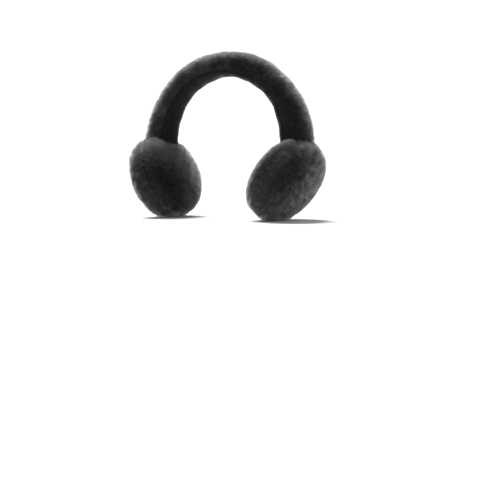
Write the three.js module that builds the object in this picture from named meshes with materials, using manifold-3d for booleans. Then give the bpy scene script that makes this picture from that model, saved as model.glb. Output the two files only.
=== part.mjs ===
// Fur earmuffs: a padded fur tube bent over the head as a band, lined on its inner side,
// with a round fur pad sewn to each end. Millimetres, +Z up, the wearer faces -Y.

import * as THREE from "three";
import { mergeVertices } from "three/addons/utils/BufferGeometryUtils.js";
import Module from "manifold-3d";

const wasm = await Module();
wasm.setup();

// Band: the arch's centreline, and the tube's section at its legs and at its crown
const archHalfWidth = 96;
const archRise = 95;
const legThickness = 36;
const crownThickness = 30.5;
const legWidth = 42;
const crownWidth = 36;
const bandRoundness = 2.6;
const liningDepth = 8;

// Band's end: how far it goes in past the pad's top rim, and how it narrows there
const legInsertion = 35.5;
const endTaperLength = 22;
const endTaperShare = 0.6;

// Ear pads: two domes back to back, with their seam just inside the widest line
const padRadius = 53.2;
const padOuterDome = 29.5;
const padInnerDome = 27;
const padRoundness = 2.7;
const padSeamOffset = 6;

// Pad's place: its centre from the leg's centreline and from the foot of the arch
const padInset = 11.2;
const padForward = 6.8;
const padDrop = 41.3;
const leftCant = THREE.MathUtils.degToRad(34.2);
const rightCant = THREE.MathUtils.degToRad(22.5);

// Fur relief, seams and the fur pressed flat where the pads stand
const furUnevenness = 0.9;
const seamGrooveDepth = 1.5;
const seamGrooveReach = 2.5;
const sewnGap = 0.3;
const restFlattening = 2;

// Facets, and the lumps counted along the band and round a pad
const bandSteps = 60;
const furSidePoints = 11;
const liningSidePoints = 6;
const padSegments = 48;
const outerDomePoints = 13;
const innerDomePoints = 11;
const bandLumps = 9;
const padLumps = 5;
const unitSeamHeight = -0.5;
const mergeDistance = 1e-4;

const padCentreX = archHalfWidth - padInset;
const padRimRise = padRadius * Math.cos(leftCant);
const legLength = padDrop - padRimRise + legInsertion;
const springHeight = padDrop + padRestHeight(leftCant);

const finishes = {
  fur: { color: 0x2c2c2e, roughness: 0.95 },
  plush: { color: 0x28282a, roughness: 0.95 },
  lining: { color: 0x1f1f21, roughness: 0.85 },
};

// Half width of a unit superellipse at a height from -1 to 1
function superellipseReach(height, roundness) {
  return (1 - Math.min(Math.abs(height), 1) ** roundness) ** (1 / roundness);
}

// Height of a canted pad's centre, so that its lowest fur is pressed flat by the floor
function padRestHeight(cant) {
  const power = padRoundness / (padRoundness - 1);
  const rimReach = (padRadius * Math.cos(cant)) ** power;
  const domeReach = (padOuterDome * Math.sin(cant)) ** power;
  return (rimReach + domeReach) ** (1 / power) - restFlattening;
}

// A pinched-in line where two pieces are sewn together
function seamGroove(distance) {
  return seamGrooveDepth * Math.exp(-((distance / seamGrooveReach) ** 2));
}

// Fur never lies even: low lumps along the band, the same on its front and its back
function bandRelief(along, turn) {
  const lumps = 2 * Math.PI * bandLumps * along;
  return furUnevenness * Math.sin(lumps + Math.PI * Math.cos(turn)) * Math.cos(lumps / 2);
}

function padRelief(turn, height) {
  return furUnevenness * Math.sin(padLumps * turn + height / padOuterDome) * Math.cos(2 * turn);
}

// Joins the corners that faces share, before any of them is moved
function weld(geometry) {
  geometry.deleteAttribute("normal");
  geometry.deleteAttribute("uv");
  return mergeVertices(geometry, mergeDistance);
}

function moveVertices(geometry, place) {
  const position = geometry.attributes.position;
  const point = new THREE.Vector3();
  for (let i = 0; i < position.count; i += 1) {
    point.fromBufferAttribute(position, i);
    place(point);
    position.setXYZ(i, point.x, point.y, point.z);
  }
  geometry.computeVertexNormals();
  return geometry;
}

function toSolid(geometry) {
  const mesh = new wasm.Mesh({
    numProp: 3,
    vertProperties: new Float32Array(geometry.attributes.position.array),
    triVerts: new Uint32Array(geometry.index.array),
  });
  return new wasm.Manifold(mesh);
}

function toGeometry(solid) {
  const { vertProperties, triVerts } = solid.getMesh();
  const geometry = new THREE.BufferGeometry();
  geometry.setAttribute("position", new THREE.BufferAttribute(vertProperties, 3));
  geometry.setIndex(new THREE.BufferAttribute(triVerts, 1));
  geometry.computeVertexNormals();
  return geometry;
}

// The band's centreline in X and Z, from the left leg's end over to the right leg's end
function bandCentreline(clearance) {
  const leftFoot = new THREE.Vector2(archHalfWidth, springHeight);
  const rightFoot = new THREE.Vector2(-archHalfWidth, springHeight);
  const leg = new THREE.Vector2(0, legLength + clearance);
  const line = new THREE.CurvePath();
  line.add(new THREE.LineCurve(leftFoot.clone().sub(leg), leftFoot));
  line.add(new THREE.EllipseCurve(0, springHeight, archHalfWidth, archRise, 0, Math.PI));
  line.add(new THREE.LineCurve(rightFoot, rightFoot.clone().sub(leg)));
  return line;
}

// One side of the band's unit section: x is the height off the head, y the half width
function sectionSide(fromHeight, toHeight, points) {
  const start = Math.asin(fromHeight);
  const end = Math.asin(toHeight);
  return Array.from({ length: points }, (_, i) => {
    const height = Math.sin(THREE.MathUtils.lerp(start, end, i / (points - 1)));
    return new THREE.Vector2(height, superellipseReach(height, bandRoundness));
  });
}

function wholeSection(side) {
  const otherSide = side.filter(({ y }) => y > mergeDistance).map(({ x, y }) => new THREE.Vector2(x, -y));
  return new THREE.Shape([...side, ...otherSide.reverse()]);
}

// The tube narrows towards each end, where it goes into its pad
function endTaper(toEnd) {
  const share = THREE.MathUtils.clamp(toEnd / endTaperLength, 0, 1);
  return endTaperShare + (1 - endTaperShare) * Math.sqrt(1 - (1 - share) ** 2);
}

// Height above the tube's inner face of a unit height, with the lining's own thickness
function heightInTube(unitHeight, thickness, lining) {
  if (unitHeight <= unitSeamHeight) {
    return (lining * (unitHeight + 1)) / (unitSeamHeight + 1);
  }
  const share = (unitHeight - unitSeamHeight) / (1 - unitSeamHeight);
  return THREE.MathUtils.lerp(lining, thickness, share);
}

// Extrudes a unit section and bends it along the band, grown by a clearance all round
function bendOverHead(section, clearance, lining) {
  const line = bandCentreline(clearance);
  const length = line.getLength();
  const straight = new THREE.ExtrudeGeometry(section, {
    depth: 1,
    steps: bandSteps,
    bevelEnabled: false,
  });
  return moveVertices(weld(straight), (point) => {
    const centre = line.getPoint(point.z);
    const tangent = line.getTangent(point.z);
    const climb = Math.max(centre.y - springHeight, 0) / archRise;
    const taper = endTaper(Math.min(point.z, 1 - point.z) * length);
    const thickness = taper * THREE.MathUtils.lerp(legThickness, crownThickness, climb);
    const width = taper * THREE.MathUtils.lerp(legWidth, crownWidth, climb);
    const inTube = heightInTube(point.x, thickness, taper * lining);
    const growth = clearance + bandRelief(point.z, Math.atan2(point.y, point.x));
    const height = (inTube - thickness / 2) * (1 + growth / (thickness / 2));
    const groove = seamGroove(inTube - taper * lining);
    point.set(
      centre.x + height * tangent.y,
      point.y * (width / 2 + growth - groove),
      centre.y - height * tangent.x,
    );
  });
}

// A pad half's profile from one height to another: x is the radius, y the height
function domeProfile(fromHeight, toHeight, points) {
  const dome = Math.max(Math.abs(fromHeight), Math.abs(toHeight));
  const start = Math.asin(fromHeight / dome);
  const end = Math.asin(toHeight / dome);
  return Array.from({ length: points }, (_, i) => {
    const height = dome * Math.sin(THREE.MathUtils.lerp(start, end, i / (points - 1)));
    const depth = height > 0 ? padOuterDome : padInnerDome;
    const radius = padRadius * superellipseReach(height / depth, padRoundness);
    return new THREE.Vector2(radius - seamGroove(height + padSeamOffset), height);
  });
}

// Turns a profile about the pad's axis and sets it at its canted place on the band
function turnPadHalf(profile, sign, cant) {
  const turned = weld(new THREE.LatheGeometry(profile, padSegments));
  moveVertices(turned, (point) => {
    const swell = 1 + padRelief(Math.atan2(point.z, point.x), point.y) / padRadius;
    point.set(point.x * swell, point.y, point.z * swell);
  });
  const outward = new THREE.Vector3(sign * Math.cos(cant), 0, -Math.sin(cant));
  const turn = new THREE.Quaternion().setFromUnitVectors(new THREE.Vector3(0, 1, 0), outward);
  const centre = new THREE.Vector3(sign * padCentreX, -padForward, padRestHeight(cant));
  return turned.applyMatrix4(
    new THREE.Matrix4().compose(centre, turn, new THREE.Vector3(1, 1, 1)),
  );
}

// The floor that presses the pads' lowest fur flat
function floorBlock() {
  const span = 3 * (archHalfWidth + padRadius);
  const block = new THREE.BoxGeometry(span, span, padRadius);
  block.translate(0, 0, -padRadius / 2);
  return toSolid(weld(block));
}

function pieceMesh(name, geometry, finish) {
  const material = new THREE.MeshStandardMaterial({ ...finishes[finish], metalness: 0 });
  const mesh = new THREE.Mesh(geometry, material);
  mesh.name = name;
  return mesh;
}

const liningSide = sectionSide(-1, unitSeamHeight, liningSidePoints);
const furSide = sectionSide(unitSeamHeight, 1, furSidePoints);
const tubeSide = [...liningSide, ...furSide.slice(1)];
const bandPocket = toSolid(bendOverHead(wholeSection(tubeSide), sewnGap, liningDepth));
const floor = floorBlock();

const outerSeam = new THREE.Vector2(0, -padSeamOffset);
const innerSeamHeight = -padSeamOffset - sewnGap;
const outerHalf = [outerSeam, ...domeProfile(-padSeamOffset, padOuterDome, outerDomePoints)];
const innerHalf = [
  ...domeProfile(-padInnerDome, innerSeamHeight, innerDomePoints),
  new THREE.Vector2(0, innerSeamHeight),
];

function padMesh(name, profile, finish, sign, cant) {
  const pad = toSolid(turnPadHalf(profile, sign, cant));
  return pieceMesh(name, toGeometry(pad.subtract(bandPocket).subtract(floor)), finish);
}

const earmuffs = new THREE.Group();
earmuffs.add(pieceMesh("band_fur", bendOverHead(wholeSection(furSide), 0, liningDepth), "fur"));
earmuffs.add(
  pieceMesh("band_lining", bendOverHead(wholeSection(liningSide), 0, liningDepth - sewnGap), "lining"),
);
for (const [side, sign, cant] of [["left", 1, leftCant], ["right", -1, rightCant]]) {
  earmuffs.add(padMesh(`pad_fur_${side}`, outerHalf, "fur", sign, cant));
  earmuffs.add(padMesh(`pad_back_${side}`, innerHalf, "plush", sign, cant));
}

// The origin is on the floor, under the middle of the whole
const middle = new THREE.Box3().setFromObject(earmuffs).getCenter(new THREE.Vector3());
earmuffs.position.set(-middle.x, -middle.y, 0);

export default earmuffs;
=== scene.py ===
"""Dresses the fur earmuffs: padded hides, the fur pile grown on them, and a napped lining.

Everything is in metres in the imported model's frame: +X towards the left pad,
-Y towards the front, +Z up, with the floor at zero.
"""

import logging
import math
from dataclasses import dataclass
from enum import Enum
from typing import Iterable

import bmesh
import bpy
import numpy as np
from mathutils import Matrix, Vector, noise
from mathutils.bvhtree import BVHTree
from mathutils.kdtree import KDTree


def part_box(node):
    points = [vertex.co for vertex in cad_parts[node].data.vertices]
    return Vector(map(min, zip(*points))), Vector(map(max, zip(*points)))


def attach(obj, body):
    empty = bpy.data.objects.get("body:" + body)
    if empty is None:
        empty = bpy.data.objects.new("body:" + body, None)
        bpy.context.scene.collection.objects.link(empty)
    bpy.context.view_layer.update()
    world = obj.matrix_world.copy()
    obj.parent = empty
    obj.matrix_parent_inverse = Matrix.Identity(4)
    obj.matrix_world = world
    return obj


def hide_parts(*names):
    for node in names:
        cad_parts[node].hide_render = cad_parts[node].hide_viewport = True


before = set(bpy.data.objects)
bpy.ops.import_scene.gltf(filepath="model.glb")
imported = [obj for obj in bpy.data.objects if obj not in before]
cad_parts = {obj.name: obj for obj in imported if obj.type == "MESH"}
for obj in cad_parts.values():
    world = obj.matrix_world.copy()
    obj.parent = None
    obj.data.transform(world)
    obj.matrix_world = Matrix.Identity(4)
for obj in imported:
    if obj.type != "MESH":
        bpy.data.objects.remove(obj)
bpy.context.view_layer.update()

MM = 0.001
SQUARE_MM = MM * MM
CUBIC_CM = 1e-6
SHORTEST = 1e-12
ROOT_BODY = "root"
RISE = "pile_rise"
TONE = "pile_tone"
BARE = "bare"
STRAND_SIDES = 3
STRAND_POINTS = STRAND_SIDES + 1
STRAND_FACES = ((0, 2, 1), (0, 1, 3), (1, 2, 3), (2, 0, 3))
BAND_NODES = ("band_fur", "band_lining")
PAD_NODES = ("pad_fur_left", "pad_back_left", "pad_fur_right", "pad_back_right")

log = logging.getLogger("earmuffs")


class Brush(Enum):
    """Which way a pile has been brushed."""

    DOWN_THE_LEGS = "from the crown down both legs"
    FROM_THE_MIDDLE = "out from the middle of the pad, and down"


def interface_socket(
    tree: bpy.types.NodeTree, name: str, kind: str, way: str, value: float | None = None
) -> None:
    """Adds a named socket to a node group.

    Args:
        tree: The node group.
        name: The socket's name.
        kind: The socket's type, such as NodeSocketFloat.
        way: INPUT or OUTPUT.
        value: The socket's default value, if it has one.
    """
    socket = tree.interface.new_socket(name, in_out=way, socket_type=kind)
    if value is not None:
        socket.default_value = value


def math_node(
    tree: bpy.types.NodeTree,
    operation: str,
    first: bpy.types.NodeSocket | float,
    second: bpy.types.NodeSocket | float,
) -> bpy.types.NodeSocket:
    """Puts a Math node between two values.

    Args:
        tree: The node tree.
        operation: The Math node's operation.
        first: A socket or a number.
        second: A socket or a number.

    Returns:
        The node's output socket.
    """
    node = tree.nodes.new("ShaderNodeMath")
    node.operation = operation
    for slot, value in enumerate((first, second)):
        if isinstance(value, bpy.types.NodeSocket):
            tree.links.new(value, node.inputs[slot])
        else:
            node.inputs[slot].default_value = value
    return node.outputs[0]


@dataclass(frozen=True)
class FurShade:
    """The node group that colours fur with random tone, dark at the roots as painted shade deep in the
    pile and lighter at the tips as painted light that the tips catch.

    Attributes:
        name: The group's name.
        rise_power: How late a strand lightens on its way to its tip, that is where the painted tip
            light starts.
        tone_share: How much strands differ from each other.
        patch_share: How much broad patches differ.
        patch_detail: How many finer patches lie within the broad ones.
        patch_roughness: How strong the finer patches are.
    """

    name: str = "fur_shade"
    rise_power: float = 4.0
    tone_share: float = 0.9
    patch_share: float = 0.8
    patch_detail: float = 3.0
    patch_roughness: float = 0.6

    def group(self) -> bpy.types.NodeTree:
        """Builds the group once, or returns the one that is there."""
        if self.name in bpy.data.node_groups:
            return bpy.data.node_groups[self.name]
        tree = bpy.data.node_groups.new(self.name, "ShaderNodeTree")
        interface_socket(tree, "Place", "NodeSocketVector", "INPUT")
        interface_socket(tree, "Root Colour", "NodeSocketColor", "INPUT")
        interface_socket(tree, "Tip Colour", "NodeSocketColor", "INPUT")
        interface_socket(tree, "Rise", "NodeSocketFloat", "INPUT", 0.0)
        interface_socket(tree, "Tone", "NodeSocketFloat", "INPUT", 0.5)
        interface_socket(tree, "Patch Scale", "NodeSocketFloat", "INPUT", 60.0)
        interface_socket(tree, "Colour", "NodeSocketColor", "OUTPUT")
        entry = tree.nodes.new("NodeGroupInput")
        leave = tree.nodes.new("NodeGroupOutput")
        patches = tree.nodes.new("ShaderNodeTexNoise")
        patches.inputs["Detail"].default_value = self.patch_detail
        patches.inputs["Roughness"].default_value = self.patch_roughness
        tree.links.new(entry.outputs["Place"], patches.inputs["Vector"])
        tree.links.new(entry.outputs["Patch Scale"], patches.inputs["Scale"])
        # Painted light: a strand lightens only near its tip, and its dark root is painted shade.
        rise = math_node(tree, "POWER", entry.outputs["Rise"], self.rise_power)
        tone = math_node(tree, "MULTIPLY", entry.outputs["Tone"], self.tone_share)
        patch = math_node(tree, "MULTIPLY", patches.outputs[0], self.patch_share)
        both = math_node(tree, "ADD", patch, tone)
        share = math_node(tree, "MULTIPLY", both, rise)
        mix = tree.nodes.new("ShaderNodeMix")
        mix.data_type = "RGBA"
        mix.clamp_factor = True
        tree.links.new(share, mix.inputs["Factor"])
        tree.links.new(entry.outputs["Root Colour"], mix.inputs["A"])
        tree.links.new(entry.outputs["Tip Colour"], mix.inputs["B"])
        tree.links.new(mix.outputs["Result"], leave.inputs["Colour"])
        return tree


@dataclass(frozen=True)
class FurFinish:
    """The finish of a fur, for its strands or for the hide that they grow on.

    Attributes:
        name: The material's name.
        root: Colour at the strands' roots, linear: the fur's own dark tone, darkened further as painted
            shade deep in the pile.
        tip: Colour at the strands' tips, linear, lighter than the roots as painted light that the tips
            catch.
        roughness: The strands' roughness.
        sheen: How much the fibres catch light at a grazing angle.
        sheen_roughness: How broad that grazing light is.
        patch_scale: Broad patches to the metre.
        strands: Whether it dresses strands, which carry rise and tone.
        nap_bump: Depth of the fine nap in metres, where there are no strands.
        nap_scale: Fine bumps of the nap to the metre.
        nap_detail: How many finer bumps lie within them.
        specular: How much the fibres mirror, which is little.
    """

    name: str
    root: tuple[float, float, float]
    tip: tuple[float, float, float]
    roughness: float = 0.7
    sheen: float = 1.0
    sheen_roughness: float = 0.42
    patch_scale: float = 60.0
    strands: bool = True
    nap_bump: float = 0.0
    nap_scale: float = 900.0
    nap_detail: float = 4.0
    specular: float = 0.15

    def material(self) -> bpy.types.Material:
        """Builds the material.

        Returns:
            The finished material.
        """
        material = bpy.data.materials.new(self.name)
        material.use_nodes = True
        tree = material.node_tree
        shader = tree.nodes["Principled BSDF"]
        shader.inputs["Roughness"].default_value = self.roughness
        shader.inputs["Specular IOR Level"].default_value = self.specular
        shader.inputs["Sheen Weight"].default_value = self.sheen
        shader.inputs["Sheen Roughness"].default_value = self.sheen_roughness
        place = tree.nodes.new("ShaderNodeTexCoord").outputs["Object"]
        shade = tree.nodes.new("ShaderNodeGroup")
        shade.node_tree = FurShade().group()
        shade.inputs["Root Colour"].default_value = (*self.root, 1.0)
        shade.inputs["Tip Colour"].default_value = (*self.tip, 1.0)
        shade.inputs["Patch Scale"].default_value = self.patch_scale
        tree.links.new(place, shade.inputs["Place"])
        if self.strands:
            for attribute, socket in ((RISE, "Rise"), (TONE, "Tone")):
                reader = tree.nodes.new("ShaderNodeAttribute")
                reader.attribute_name = attribute
                tree.links.new(reader.outputs["Fac"], shade.inputs[socket])
        tree.links.new(shade.outputs["Colour"], shader.inputs["Base Color"])
        if self.nap_bump:
            nap = tree.nodes.new("ShaderNodeTexNoise")
            nap.inputs["Scale"].default_value = self.nap_scale
            nap.inputs["Detail"].default_value = self.nap_detail
            bump = tree.nodes.new("ShaderNodeBump")
            bump.inputs["Distance"].default_value = self.nap_bump
            tree.links.new(place, nap.inputs["Vector"])
            tree.links.new(nap.outputs[0], bump.inputs["Height"])
            tree.links.new(bump.outputs["Normal"], shader.inputs["Normal"])
        return material


@dataclass(frozen=True)
class Pile:
    """How a fur or a nap grows.

    Attributes:
        depth: From the hide to the tips.
        density: Strands to the square millimetre of hide.
        width: A strand's width at its root.
        width_spread: The least and the most of that width that a strand has.
        lean: How far the strands lean over, in radians.
        lean_spread: How far the lean differs from strand to strand, in radians.
        most_lean: The most that a strand leans over, in radians.
        longest_lean: The lean past which a strand gets no longer to make up for it.
        stray: How far single strands stray from the way of the nap.
        swirl: How strongly the nap wanders from the way it was brushed.
        swirl_size: The length over which it wanders.
        tuft_spacing: From one tuft to the next.
        tuft_pull: How far the tips draw together into tufts, from 0 to 1.
        least_pull: The least share of that pull that a strand gets.
        tuft_reach: How far a tuft's point stands past its middle strand, as a factor.
        tuft_tone: The share of its tone that a strand has from its tuft.
        length_spread: How much the strands' lengths differ, as a share.
        seam_share: The share of its length that a strand keeps at a seam.
        tuft_turn: How far tufts are turned from the hide they stand on, for the light.
        overshoot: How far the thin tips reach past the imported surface.
    """

    depth: float
    density: float
    width: float
    width_spread: tuple[float, float] = (0.7, 1.3)
    lean: float = math.radians(38)
    lean_spread: float = math.radians(14)
    most_lean: float = 1.2
    longest_lean: float = 0.9
    stray: float = 0.45
    swirl: float = 0.6
    swirl_size: float = 22 * MM
    tuft_spacing: float = 4.5 * MM
    tuft_pull: float = 0.4
    least_pull: float = 0.4
    tuft_reach: float = 1.05
    tuft_tone: float = 0.6
    length_spread: float = 0.12
    seam_share: float = 0.6
    tuft_turn: float = 0.06
    overshoot: float = 1.7 * MM


def read_vectors(items: bpy.types.bpy_prop_collection, name: str) -> np.ndarray:
    """Reads one vector property of many items.

    Args:
        items: Such as a mesh's vertices.
        name: The property, such as co or normal.

    Returns:
        One vector to a row.
    """
    values = np.empty(len(items) * 3)
    items.foreach_get(name, values)
    return values.reshape(-1, 3)


def surfaces(objects: Iterable[bpy.types.Object]) -> BVHTree:
    """Puts the surfaces of several objects in one tree.

    Args:
        objects: Objects at the origin.

    Returns:
        One tree of all their faces.
    """
    points, faces = [], []
    for item in objects:
        start = len(points)
        points.extend(v.co.copy() for v in item.data.vertices)
        faces.extend([start + i for i in p.vertices] for p in item.data.polygons)
    return BVHTree.FromPolygons(points, faces)


def settle(piece: bpy.types.Object) -> None:
    """Applies a piece's modifiers to its mesh.

    Args:
        piece: The piece.
    """
    ready = piece.evaluated_get(bpy.context.evaluated_depsgraph_get())
    mesh = bpy.data.meshes.new_from_object(ready)
    piece.modifiers.clear()
    piece.data = mesh


def smooth(points: Iterable[bmesh.types.BMVert], form: bmesh.types.BMesh, times: int) -> None:
    """Smooths some of a form's points.

    Args:
        points: The points.
        form: The form.
        times: How often.
    """
    for _ in range(times):
        bmesh.ops.smooth_vert(form, verts=points, factor=0.5, use_axis_x=True,
                              use_axis_y=True, use_axis_z=True)


@dataclass
class Hide:
    """A padded form under a pile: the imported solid, rounded, and let in where fur will grow.

    Attributes:
        node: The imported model's node that it stands for.
        inset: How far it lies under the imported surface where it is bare.
        voxel: The remesh size.
        weld: How near loose corners lie that are joined first.
        touch: How near a neighbour lies where the two are sewn together.
        facing: How squarely their faces meet there, as a cosine.
        calming: How often it is smoothed to find which way it faces there.
        half_gap: How far it grows there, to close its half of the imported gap.
        rounding: How often its corners are smoothed.
        pressure: How hard the wadding presses from inside.
        slack: How much smaller it starts, where the wadding will press it out.
        stretch: How far the wadding may press it out.
        frames: How many frames the wadding takes to settle.
        creased_by: The nodes towards which the fur gets shorter, which leaves a crease.
        crease_width: How far from them that starts.
        crease_depth: How much deeper the hide lies in the crease.
        crease_fur: The share of its length that the fur keeps in the crease.
    """

    node: str
    inset: float
    voxel: float = 3.0 * MM
    weld: float = 0.01 * MM
    touch: float = 2.5 * MM
    facing: float = 0.85
    calming: int = 2
    half_gap: float = 0.14 * MM
    rounding: int = 5
    pressure: float = 4.0
    slack: float = 0.4 * MM
    stretch: float = 1.5 * MM
    frames: int = 20
    creased_by: tuple[str, ...] = ()
    crease_width: float = 4 * MM
    crease_depth: float = 2 * MM
    crease_fur: float = 0.35

    def neighbours(self) -> BVHTree:
        """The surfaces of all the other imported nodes.

        Returns:
            One tree of their triangles.
        """
        return surfaces(other for name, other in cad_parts.items() if name != self.node)

    def rounded(self) -> bpy.types.Object:
        """Copies the node, merges its loose triangles and rounds them into even small faces.

        Returns:
            The new object.
        """
        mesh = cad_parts[self.node].data.copy()
        mesh.materials.clear()
        form = bmesh.new()
        form.from_mesh(mesh)
        bmesh.ops.remove_doubles(form, verts=form.verts, dist=self.weld)
        form.to_mesh(mesh)
        form.free()
        piece = bpy.data.objects.new(f"{self.node}_hide", mesh)
        bpy.context.scene.collection.objects.link(piece)
        remesh = piece.modifiers.new("rounded", "REMESH")
        remesh.mode = "VOXEL"
        remesh.voxel_size = self.voxel
        settle(piece)
        return piece

    def let_in(self, piece: bpy.types.Object) -> None:
        """Marks where the hide is bare, that is where no neighbour is sewn to it, and lets it in there.

        Args:
            piece: The hide.
        """
        others = self.neighbours()
        form = bmesh.new()
        form.from_mesh(piece.data)
        bare = form.verts.layers.float.new(BARE)
        places = [point.co.copy() for point in form.verts]
        smooth(form.verts, form, self.calming)
        form.normal_update()
        for point, place in zip(form.verts, places):
            hit = others.ray_cast(point.co, point.normal, self.touch)
            sewn = hit[0] and hit[1].dot(point.normal) < -self.facing
            point[bare] = 0.0 if sewn else 1.0
            point.co = place + point.normal * self.half_gap if sewn else place
        shown = [point for point in form.verts if point[bare]]
        smooth(shown, form, self.rounding)
        self.ease(form, bare)
        form.normal_update()
        crease = surfaces(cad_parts[name] for name in self.creased_by)
        start = self.inset + self.slack
        for point in shown:
            nearest = crease.find_nearest(point.co, self.crease_width)
            near = 1 - nearest[3] / self.crease_width if nearest[0] else 0.0
            point[bare] *= 1 - near * (1 - self.crease_fur)
            point.co -= point.normal * (start * point[bare] + self.crease_depth * near)
        smooth(shown, form, 1)
        form.to_mesh(piece.data)
        form.free()

    def ease(self, form: bmesh.types.BMesh, bare: bmesh.types.BMLayerItem) -> None:
        """Softens the edge of the bare stretch.

        Args:
            form: The hide's mesh.
            bare: The layer that says how bare each point is.
        """
        means = [
            sum(edge.other_vert(point)[bare] for edge in point.link_edges)
            / max(len(point.link_edges), 1)
            for point in form.verts
        ]
        for point, mean in zip(form.verts, means):
            point[bare] = min(point[bare], mean)

    def pad_out(self, piece: bpy.types.Object) -> None:
        """Lets the wadding press the hide out as cloth.

        Args:
            piece: The hide.
        """
        before = read_vectors(piece.data.vertices, "co")
        normals = read_vectors(piece.data.vertices, "normal")
        bare = np.empty(len(before))
        piece.data.attributes[BARE].data.foreach_get("value", bare)
        cloth = piece.modifiers.new("wadding", "CLOTH")
        cloth.settings.use_pressure = True
        cloth.settings.uniform_pressure_force = self.pressure
        cloth.settings.effector_weights.gravity = 0.0
        cloth.point_cache.frame_end = self.frames
        for number in range(1, self.frames + 1):
            bpy.context.scene.frame_set(number)
        settle(piece)
        bpy.context.scene.frame_set(1)
        moved = read_vectors(piece.data.vertices, "co") - before
        outward = np.clip((moved * normals).sum(1), 0.0, self.stretch) * bare
        piece.data.vertices.foreach_set("co", (before + normals * outward[:, None]).ravel())
        piece.data.update()
        log.info("%s: pressed out by %.2f mm", self.node, outward.mean() / MM)

    def build(self, finish: "FurFinish") -> bpy.types.Object:
        """Makes the hide.

        Args:
            finish: The hide's finish.

        Returns:
            The hide, whose points carry how bare they are.
        """
        piece = self.rounded()
        self.let_in(piece)
        self.pad_out(piece)
        finer = piece.modifiers.new("finer", "SUBSURF")
        finer.levels = finer.render_levels = 1
        settle(piece)
        form = bmesh.new()
        form.from_mesh(piece.data)
        bmesh.ops.triangulate(form, faces=form.faces)
        for face in form.faces:
            face.smooth = True
        log.info("%s: volume %.1f cm3", self.node, form.calc_volume(signed=True) / CUBIC_CM)
        form.to_mesh(piece.data)
        form.free()
        piece.data.materials.append(finish.material())
        return piece


def unit(vectors: np.ndarray) -> np.ndarray:
    """Vectors made one long.

    Args:
        vectors: One vector to a row.

    Returns:
        The same vectors at length one.
    """
    return vectors / np.maximum(np.linalg.norm(vectors, axis=1, keepdims=True), SHORTEST)


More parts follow.
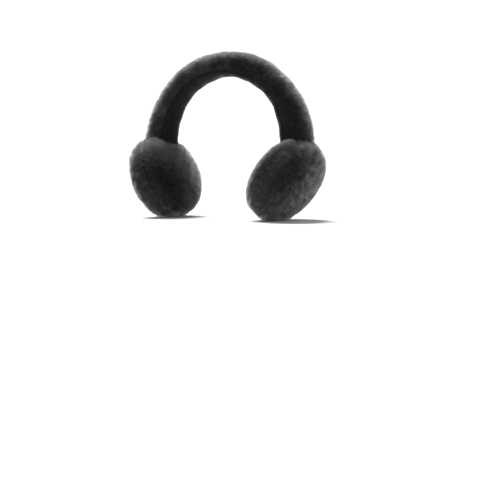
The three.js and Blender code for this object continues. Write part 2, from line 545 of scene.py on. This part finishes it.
@dataclass
class Coat:
    """A pile grown on a hide as one mesh of tapering strands.

    Attributes:
        hide: The hide it grows on, whose points carry how bare they are.
        pile: How it grows.
        brush: Which way it was brushed.
        middle: The place that the brushing starts from.
        neighbours: The hides that its strands must not grow into.
        seed: Where its random numbers start.
        floor_clearance: How far over the floor its tips stay.
        calming: How often the hide's normals are evened out before the pile grows along them.
        own_normal: How much of its own normal each point keeps each time.
        crown_reach: How far from the crown's middle the pile is fully brushed down.
        droop: How strongly the pads' fur hangs down.
        least_bare: How bare the hide is where fur starts to grow.
        least_length: The least share of its length that a strand keeps beside a neighbour.
    """

    hide: bpy.types.Object
    pile: Pile
    brush: Brush
    middle: Vector
    neighbours: BVHTree
    seed: int
    floor_clearance: float = 0.3 * MM
    calming: int = 12
    own_normal: float = 0.1
    crown_reach: float = 25 * MM
    droop: float = 0.4
    least_bare: float = 0.05
    least_length: float = 0.2

    def __post_init__(self) -> None:
        """Starts the coat's random numbers, and the noise that its nap wanders by."""
        self.rng = np.random.default_rng(self.seed)
        noise.seed_set(self.seed)

    def brushed(self, points: np.ndarray) -> np.ndarray:
        """Which way the pile leans at each of the hide's points.

        Args:
            points: The hide's points.

        Returns:
            A direction for each, not yet flat to the hide.
        """
        away = points - np.array(self.middle)
        if self.brush is Brush.DOWN_THE_LEGS:
            down = np.tanh(away[:, 0] / self.crown_reach) * away[:, 2]
            along = np.stack((down, 0 * down, -abs(away[:, 0])), 1)
            return along / np.hypot(away[:, :1], away[:, 2:])
        return unit(unit(away) + self.droop * np.array([0.0, 0.0, -1.0]))

    def calm_normals(self, bare: np.ndarray) -> np.ndarray:
        """Evens out the hide's normals, so that the pile points outwards at the seams too.

        Args:
            bare: How bare each of the hide's points is.

        Returns:
            A normal for each point, led by its bare neighbours.
        """
        mesh = self.hide.data
        normals = read_vectors(mesh.vertices, "normal")
        ends = np.empty(len(mesh.edges) * 2, np.int32)
        mesh.edges.foreach_get("vertices", ends)
        first, second = ends.reshape(-1, 2).T
        for _ in range(self.calming):
            led = normals * bare[:, None]
            total = self.own_normal * normals + led
            np.add.at(total, first, led[second])
            np.add.at(total, second, led[first])
            normals = unit(total)
        return normals

    def roots(self) -> tuple[np.ndarray, np.ndarray, np.ndarray, np.ndarray]:
        """Spreads the strands' roots evenly over the bare part of the hide.

        Returns:
            The roots, and the hide's normals, the way of brushing and the bareness there.
        """
        mesh = self.hide.data
        points = read_vectors(mesh.vertices, "co")
        corners = np.empty(len(mesh.polygons) * 3, np.int32)
        mesh.loops.foreach_get("vertex_index", corners)
        corners = corners.reshape(-1, 3)
        bare = np.empty(len(points))
        mesh.attributes[BARE].data.foreach_get("value", bare)
        normals = self.calm_normals(bare)
        wander = np.array([noise.noise_vector(Vector(p) / self.pile.swirl_size) for p in points])
        lean = self.brushed(points) + self.pile.swirl * wander
        a, b, c = (points[corners[:, i]] for i in range(3))
        area = np.linalg.norm(np.cross(b - a, c - a), axis=1) / 2
        wanted = area / SQUARE_MM * self.pile.density * (bare[corners].mean(1) > self.least_bare)
        strands = np.floor(wanted + self.rng.random(len(wanted))).astype(int)
        face = np.repeat(np.arange(len(strands)), strands)
        share = np.sqrt(self.rng.random(len(face)))
        turn = self.rng.random(len(face))
        weights = np.stack([1 - share, share * (1 - turn), share * turn], 1)[:, :, None]
        at = corners[face]
        fields = (points, normals, lean, bare[:, None])
        root, normal, lean, bare = ((weights * field[at]).sum(1) for field in fields)
        return root, unit(normal), lean, bare

    def tips(
        self, root: np.ndarray, normal: np.ndarray, lean: np.ndarray, bare: np.ndarray
    ) -> np.ndarray:
        """Where each strand would end by itself.

        Args:
            root: The strands' roots.
            normal: The hide's normals there.
            lean: The way that the pile is brushed there.
            bare: How bare the hide is there: a strand has that share of its length.

        Returns:
            The strands' tips.
        """
        pile = self.pile
        count = len(root)
        flat = lean - normal * (lean * normal).sum(1, keepdims=True)
        flat = flat + pile.stray * self.rng.normal(size=(count, 3))
        flat = unit(flat - normal * (flat * normal).sum(1, keepdims=True))
        angle = pile.lean + pile.lean_spread * self.rng.normal(size=(count, 1))
        angle = np.clip(angle, 0.0, pile.most_lean)
        way = normal * np.cos(angle) + flat * np.sin(angle)
        upright = np.cos(np.minimum(angle, pile.longest_lean))
        reach = np.maximum(bare, pile.seam_share) * pile.depth / upright
        reach = reach * (1 + pile.length_spread * self.rng.normal(size=(count, 1)))
        return root + way * reach

    def tufts(self, root: np.ndarray) -> np.ndarray:
        """Sorts the strands into tufts.

        Args:
            root: The strands' roots.

        Returns:
            For each strand, the strand in the middle of its tuft.
        """
        per_tuft = self.pile.density * (self.pile.tuft_spacing / MM) ** 2
        chosen = self.rng.choice(len(root), max(int(len(root) / per_tuft), 1), replace=False)
        tree = KDTree(len(chosen))
        for i, strand in enumerate(chosen):
            tree.insert(root[strand], i)
        tree.balance()
        return np.array([chosen[tree.find(point)[1]] for point in root])

    def tufted(self, root: np.ndarray, tip: np.ndarray, tuft: np.ndarray) -> np.ndarray:
        """Draws the tips together into tufts.

        Args:
            root: The strands' roots.
            tip: The strands' tips.
            tuft: The strand in the middle of each one's tuft.

        Returns:
            The tips, drawn together.
        """
        pile = self.pile
        together = root[tuft] + (tip[tuft] - root[tuft]) * pile.tuft_reach
        pull = pile.tuft_pull * self.rng.uniform(pile.least_pull, 1.0, (len(root), 1))
        return tip + (together - tip) * pull

    def kept_clear(self, root: np.ndarray, tip: np.ndarray) -> np.ndarray:
        """Shortens the strands that would grow into a neighbour or the floor.

        Args:
            root: The strands' roots.
            tip: The strands' tips.

        Returns:
            The tips, clear of both.
        """
        way = tip - root
        length = np.linalg.norm(way, axis=1)
        free = np.ones(len(root))
        for i, (start, toward, reach) in enumerate(zip(root, way, length)):
            hit = self.neighbours.ray_cast(start, toward, reach)
            if hit[0]:
                free[i] = max(hit[3] / reach, self.least_length)
        tip = root + way * free[:, None]
        tip[:, 2] = np.maximum(tip[:, 2], self.floor_clearance)
        return tip

    def strands(self, name: str, root: np.ndarray, tip: np.ndarray) -> bpy.types.Mesh:
        """Makes a closed, tapering, three-sided strand from each root to its tip.

        Args:
            name: The mesh's name.
            root: The strands' roots.
            tip: The strands' tips.

        Returns:
            One mesh of all the strands.
        """
        count = len(root)
        way = unit(tip - root)
        side = unit(np.cross(way, self.rng.normal(size=(count, 3))))
        other = np.cross(way, side)
        radius = self.pile.width / 2 * self.rng.uniform(*self.pile.width_spread, (count, 1))
        points = np.empty((count, STRAND_POINTS, 3))
        for corner in range(STRAND_SIDES):
            turn = math.tau * corner / STRAND_SIDES
            around = math.cos(turn) * side + math.sin(turn) * other
            points[:, corner] = root + radius * (around - way)
        points[:, -1] = tip
        first = STRAND_POINTS * np.arange(count)[:, None, None]
        corners = (first + np.array(STRAND_FACES)).reshape(-1, 3)
        mesh = bpy.data.meshes.new(name)
        mesh.vertices.add(STRAND_POINTS * count)
        mesh.vertices.foreach_set("co", points.ravel())
        mesh.loops.add(corners.size)
        mesh.loops.foreach_set("vertex_index", corners.ravel())
        mesh.polygons.add(len(corners))
        mesh.polygons.foreach_set("loop_start", np.arange(0, corners.size, 3))
        mesh.polygons.foreach_set("use_smooth", np.ones(len(corners), bool))
        mesh.update(calc_edges=True)
        return mesh

    def grow(self, name: str, finish: FurFinish) -> bpy.types.Object:
        """Grows the coat.

        Args:
            name: The new piece's name.
            finish: The strands' finish.

        Returns:
            One object that holds all the strands.
        """
        root, normal, lean, bare = self.roots()
        count = len(root)
        tuft = self.tufts(root)
        tip = self.tufted(root, self.tips(root, normal, lean, bare), tuft)
        tip = self.kept_clear(root, tip)
        mesh = self.strands(name, root, tip)
        rise = mesh.attributes.new(RISE, "FLOAT", "POINT")
        rise.data.foreach_set("value", np.tile([0.0] * STRAND_SIDES + [1.0], count))
        share = self.pile.tuft_tone
        mixed = share * self.rng.random(count)[tuft] + (1 - share) * self.rng.random(count)
        tone = mesh.attributes.new(TONE, "FLOAT", "POINT")
        tone.data.foreach_set("value", np.repeat(mixed, STRAND_POINTS))
        turned = self.rng.normal(size=(count, 3))[tuft] + self.rng.normal(size=(count, 3))
        shown = unit(normal + self.pile.tuft_turn * turned)
        mesh.normals_split_custom_set_from_vertices(np.repeat(shown, STRAND_POINTS, axis=0))
        mesh.materials.append(finish.material())
        coat = bpy.data.objects.new(name, mesh)
        bpy.context.scene.collection.objects.link(coat)
        return coat


@dataclass
class FurPiece:
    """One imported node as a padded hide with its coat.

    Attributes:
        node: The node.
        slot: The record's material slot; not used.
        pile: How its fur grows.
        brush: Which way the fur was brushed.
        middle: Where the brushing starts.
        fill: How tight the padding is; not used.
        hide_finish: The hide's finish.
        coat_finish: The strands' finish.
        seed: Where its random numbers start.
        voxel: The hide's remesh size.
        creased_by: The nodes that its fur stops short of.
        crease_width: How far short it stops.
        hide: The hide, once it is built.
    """

    node: str
    slot: str
    pile: Pile
    brush: Brush
    middle: Vector
    fill: float
    hide_finish: FurFinish
    coat_finish: FurFinish
    seed: int
    voxel: float = 3.0 * MM
    creased_by: tuple[str, ...] = ()
    crease_width: float = 3 * MM
    hide: bpy.types.Object | None = None

    def place(self, piece: bpy.types.Object) -> None:
        """Sets a piece on the frame.

        Args:
            piece: The hide or the coat.
        """
        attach(piece, ROOT_BODY)
        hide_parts(self.node)

    def build(self) -> None:
        """Builds the hide."""
        inset = self.pile.depth - self.pile.overshoot
        hide = Hide(self.node, inset, voxel=self.voxel, creased_by=self.creased_by,
                    crease_width=self.crease_width)
        self.hide = hide.build(self.hide_finish)
        self.place(self.hide)
        log.info("%s: hide of %d faces", self.node, len(self.hide.data.polygons))

    def dress(self, others: list["FurPiece"]) -> None:
        """Grows the coat, once all the hides are there.

        Args:
            others: The pieces beside it.
        """
        neighbours = surfaces(other.hide for other in others)
        coat = Coat(self.hide, self.pile, self.brush, self.middle, neighbours, self.seed)
        fur = coat.grow(f"{self.node}_pile", self.coat_finish)
        self.place(fur)
        log.info("%s: %d strands", self.node, len(fur.data.polygons) // len(STRAND_FACES))


@dataclass(frozen=True)
class Finishes:
    """The finishes of the whole: the pads' fur; the band's fur, which is the same fur with darker tips
    as painted shade; and the lining, whose nap is darkened as painted shade too.
    """

    # Strand colours below: dark roots as painted shade deep in the pile, lighter tips as painted light
    # that the tips catch.
    fur: FurFinish = FurFinish("fur_strands", (0.004, 0.004, 0.0044), (0.12, 0.12, 0.124))
    # The band's strands: the pads' fur with darker tips, as painted shade over the band.
    band_fur: FurFinish = FurFinish("band_strands_painted_shade", (0.004, 0.004, 0.0044), (0.06, 0.06, 0.062))
    plush: FurFinish = FurFinish("ear_side_strands", (0.004, 0.004, 0.0044), (0.1, 0.1, 0.103))
    fur_hide: FurFinish = FurFinish(
        "fur_hide", (0.004, 0.004, 0.0045), (0.012, 0.012, 0.013), sheen=0.0,
        strands=False, nap_bump=0.4 * MM,
    )
    # The lining's nap: its own dark tone, darkened further as painted shade on the band's inner side.
    nap: FurFinish = FurFinish(
        "lining_nap_painted_shade", (0.006, 0.006, 0.007), (0.03, 0.03, 0.032), sheen=0.25
    )
    cloth: FurFinish = FurFinish(
        "lining_cloth", (0.006, 0.006, 0.007), (0.012, 0.012, 0.013), sheen=0.0,
        strands=False, nap_bump=0.2 * MM,
    )


@dataclass
class Band:
    """The arched fur tube, with the lining along its inner side.

    Attributes:
        fur_pile: The fur's pile.
        lining_pile: The lining's short nap.
        finishes: The finishes.
    """

    fur_pile: Pile = Pile(depth=5.5 * MM, density=1.55, width=0.62 * MM)
    lining_pile: Pile = Pile(
        depth=2.4 * MM, density=1.9, width=0.5 * MM, lean=math.radians(25), swirl=0.5,
        tuft_spacing=2 * MM, tuft_pull=0.2, overshoot=0.6 * MM,
    )
    finishes: Finishes = Finishes()

    def pieces(self) -> list[FurPiece]:
        """Names the band's pieces.

        Returns:
            The fur and the lining.
        """
        low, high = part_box("band_fur")
        foot = Vector(((low.x + high.x) / 2, (low.y + high.y) / 2, low.z))
        finishes = self.finishes
        return [
            # The band's fur takes the darker strands, whose tips carry painted shade.
            FurPiece("band_fur", "outer_fur", self.fur_pile, Brush.DOWN_THE_LEGS, foot, 0.7,
                     finishes.fur_hide, finishes.band_fur, seed=11, creased_by=PAD_NODES,
                     crease_width=5 * MM),
            # The lining's nap is darkened as painted shade on the band's inner side.
            FurPiece("band_lining", "band_lining", self.lining_pile, Brush.DOWN_THE_LEGS, foot, 0.5,
                     finishes.cloth, finishes.nap, seed=12, voxel=2.4 * MM),
        ]


@dataclass
class EarPad:
    """A round pad: its outer fur face, and the shorter fur on the ear's side.

    Attributes:
        side: left or right.
        seed: Where its random numbers start.
        outer_pile: The outer fur's pile.
        inner_pile: The ear side's pile.
        finishes: The finishes.
    """

    side: str
    seed: int
    outer_pile: Pile = Pile(depth=5.5 * MM, density=2.3, width=0.55 * MM, tuft_turn=0.12)
    inner_pile: Pile = Pile(depth=4.5 * MM, density=2.3, width=0.52 * MM, lean=math.radians(32))
    finishes: Finishes = Finishes()

    def pieces(self) -> list[FurPiece]:
        """Names the pad's pieces. Each half is brushed from its middle towards the seam.

        Returns:
            The outer half and the ear-side half.
        """
        outer, inner = f"pad_fur_{self.side}", f"pad_back_{self.side}"
        outer_middle, inner_middle = (sum(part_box(node), Vector()) / 2 for node in (outer, inner))
        across = outer_middle - inner_middle
        finishes = self.finishes
        return [
            FurPiece(outer, "outer_fur", self.outer_pile, Brush.FROM_THE_MIDDLE,
                     outer_middle + across, 0.8, finishes.fur_hide, finishes.fur,
                     seed=self.seed, creased_by=BAND_NODES),
            FurPiece(inner, "ear_side_fur", self.inner_pile, Brush.FROM_THE_MIDDLE,
                     inner_middle - across, 0.7, finishes.fur_hide, finishes.plush,
                     seed=self.seed + 1, creased_by=BAND_NODES),
        ]


@dataclass
class Studio:
    """The pale floor, the white surroundings, the soft lights and the camera.

    Attributes:
        azimuth: How far round from the front towards the left pad the camera stands, in radians.
        elevation: How far above the arch's foot it stands, in radians.
        distance: From the arch's foot to the camera.
        arch_foot: The height that the arch springs from.
        aim_right: How far right of the arch's foot the camera is aimed.
        aim_up: How far above it, which is below it where negative.
        lens: The focal length in millimetres.
        sensor: The sensor's width in millimetres.
        clip_end: How far the camera sees.
        floor_size: The floor's side.
        floor_colour: The floor's colour, linear.
        floor_roughness: The floor's roughness.
        floor_specular: How much the floor mirrors.
        horizon: How bright the white horizon is.
        sky: How bright the sky is overhead.
        fade_heights: The heights, as sines, between which the horizon fades to the sky.
        key_strength: The overhead light's strength.
        key_width: How broad the overhead light is, in radians.
        key_way: Where the overhead light comes from.
    """

    azimuth: float = math.radians(32.4)
    elevation: float = math.radians(-1.0)
    distance: float = 1.2
    arch_foot: float = 0.0889
    aim_right: float = 0.017
    aim_up: float = -0.1147
    lens: float = 74.96
    sensor: float = 36.0
    clip_end: float = 100.0
    floor_size: float = 30.0
    floor_colour: tuple[float, float, float] = (0.93, 0.93, 0.93)
    floor_roughness: float = 0.9
    floor_specular: float = 0.1
    horizon: float = 1.4
    sky: float = 0.3
    fade_heights: tuple[float, float] = (0.1, 0.35)
    key_strength: float = 6.0
    key_width: float = math.radians(40)
    key_way: tuple[float, float, float] = (-0.4, 0.2, 1.0)

    def camera(self) -> None:
        """Sets the camera where the photograph was taken from."""
        foot = Vector((0.0, 0.0, self.arch_foot))
        round_to = Vector((math.sin(self.azimuth), -math.cos(self.azimuth), 0.0))
        right = Vector((math.cos(self.azimuth), math.sin(self.azimuth), 0.0))
        back = round_to * math.cos(self.elevation) + Vector((0.0, 0.0, math.sin(self.elevation)))
        data = bpy.data.cameras.new("camera")
        data.lens = self.lens
        data.sensor_width = self.sensor
        data.clip_end = self.clip_end
        camera = bpy.data.objects.new("camera", data)
        camera.location = foot + back * self.distance
        aim = foot + right * self.aim_right + Vector((0.0, 0.0, self.aim_up))
        camera.rotation_euler = (aim - camera.location).to_track_quat("-Z", "Y").to_euler()
        bpy.context.scene.collection.objects.link(camera)
        bpy.context.scene.camera = camera

    def floor(self) -> None:
        """Lays the pale floor."""
        form = bmesh.new()
        bmesh.ops.create_grid(form, x_segments=1, y_segments=1, size=self.floor_size / 2)
        mesh = bpy.data.meshes.new("floor")
        form.to_mesh(mesh)
        form.free()
        material = bpy.data.materials.new("pale_floor")
        material.use_nodes = True
        shader = material.node_tree.nodes["Principled BSDF"]
        shader.inputs["Base Color"].default_value = (*self.floor_colour, 1.0)
        shader.inputs["Roughness"].default_value = self.floor_roughness
        shader.inputs["Specular IOR Level"].default_value = self.floor_specular
        mesh.materials.append(material)
        floor = bpy.data.objects.new("floor", mesh)
        bpy.context.scene.collection.objects.link(floor)

    def surroundings(self) -> None:
        """Sets a white horizon under a dimmer sky."""
        world = bpy.data.worlds.new("white_surroundings")
        world.use_nodes = True
        tree = world.node_tree
        way = tree.nodes.new("ShaderNodeTexCoord").outputs["Generated"]
        split = tree.nodes.new("ShaderNodeSeparateXYZ")
        tree.links.new(way, split.inputs[0])
        fade = tree.nodes.new("ShaderNodeMapRange")
        for socket, value in zip(("From Min", "From Max", "To Min", "To Max"),
                                 (*self.fade_heights, self.horizon, self.sky)):
            fade.inputs[socket].default_value = value
        tree.links.new(split.outputs["Z"], fade.inputs["Value"])
        tree.links.new(fade.outputs["Result"], tree.nodes["Background"].inputs["Strength"])
        tree.nodes["Background"].inputs["Color"].default_value = (1.0, 1.0, 1.0, 1.0)
        bpy.context.scene.world = world

    def key_light(self) -> None:
        """Hangs one broad soft light overhead, behind and on the right pad's side."""
        data = bpy.data.lights.new("overhead_light", "SUN")
        data.energy = self.key_strength
        data.angle = self.key_width
        lamp = bpy.data.objects.new("overhead_light", data)
        lamp.rotation_euler = Vector(self.key_way).to_track_quat("Z", "Y").to_euler()
        bpy.context.scene.collection.objects.link(lamp)

    def build(self) -> None:
        """Sets the camera, the floor, the surroundings and the light."""
        self.camera()
        self.floor()
        self.surroundings()
        self.key_light()
        bpy.context.scene.view_settings.view_transform = "Standard"


def main() -> None:
    """Builds the studio, then the band and both pads: all the hides first, then their coats."""
    logging.basicConfig(level=logging.INFO, format="%(message)s")
    Studio().build()
    pieces = [piece for part in (Band(), EarPad("left", seed=21), EarPad("right", seed=31))
              for piece in part.pieces()]
    for piece in pieces:
        piece.build()
    for piece in pieces:
        piece.dress([other for other in pieces if other is not piece])


if __name__ == "__main__":
    main()
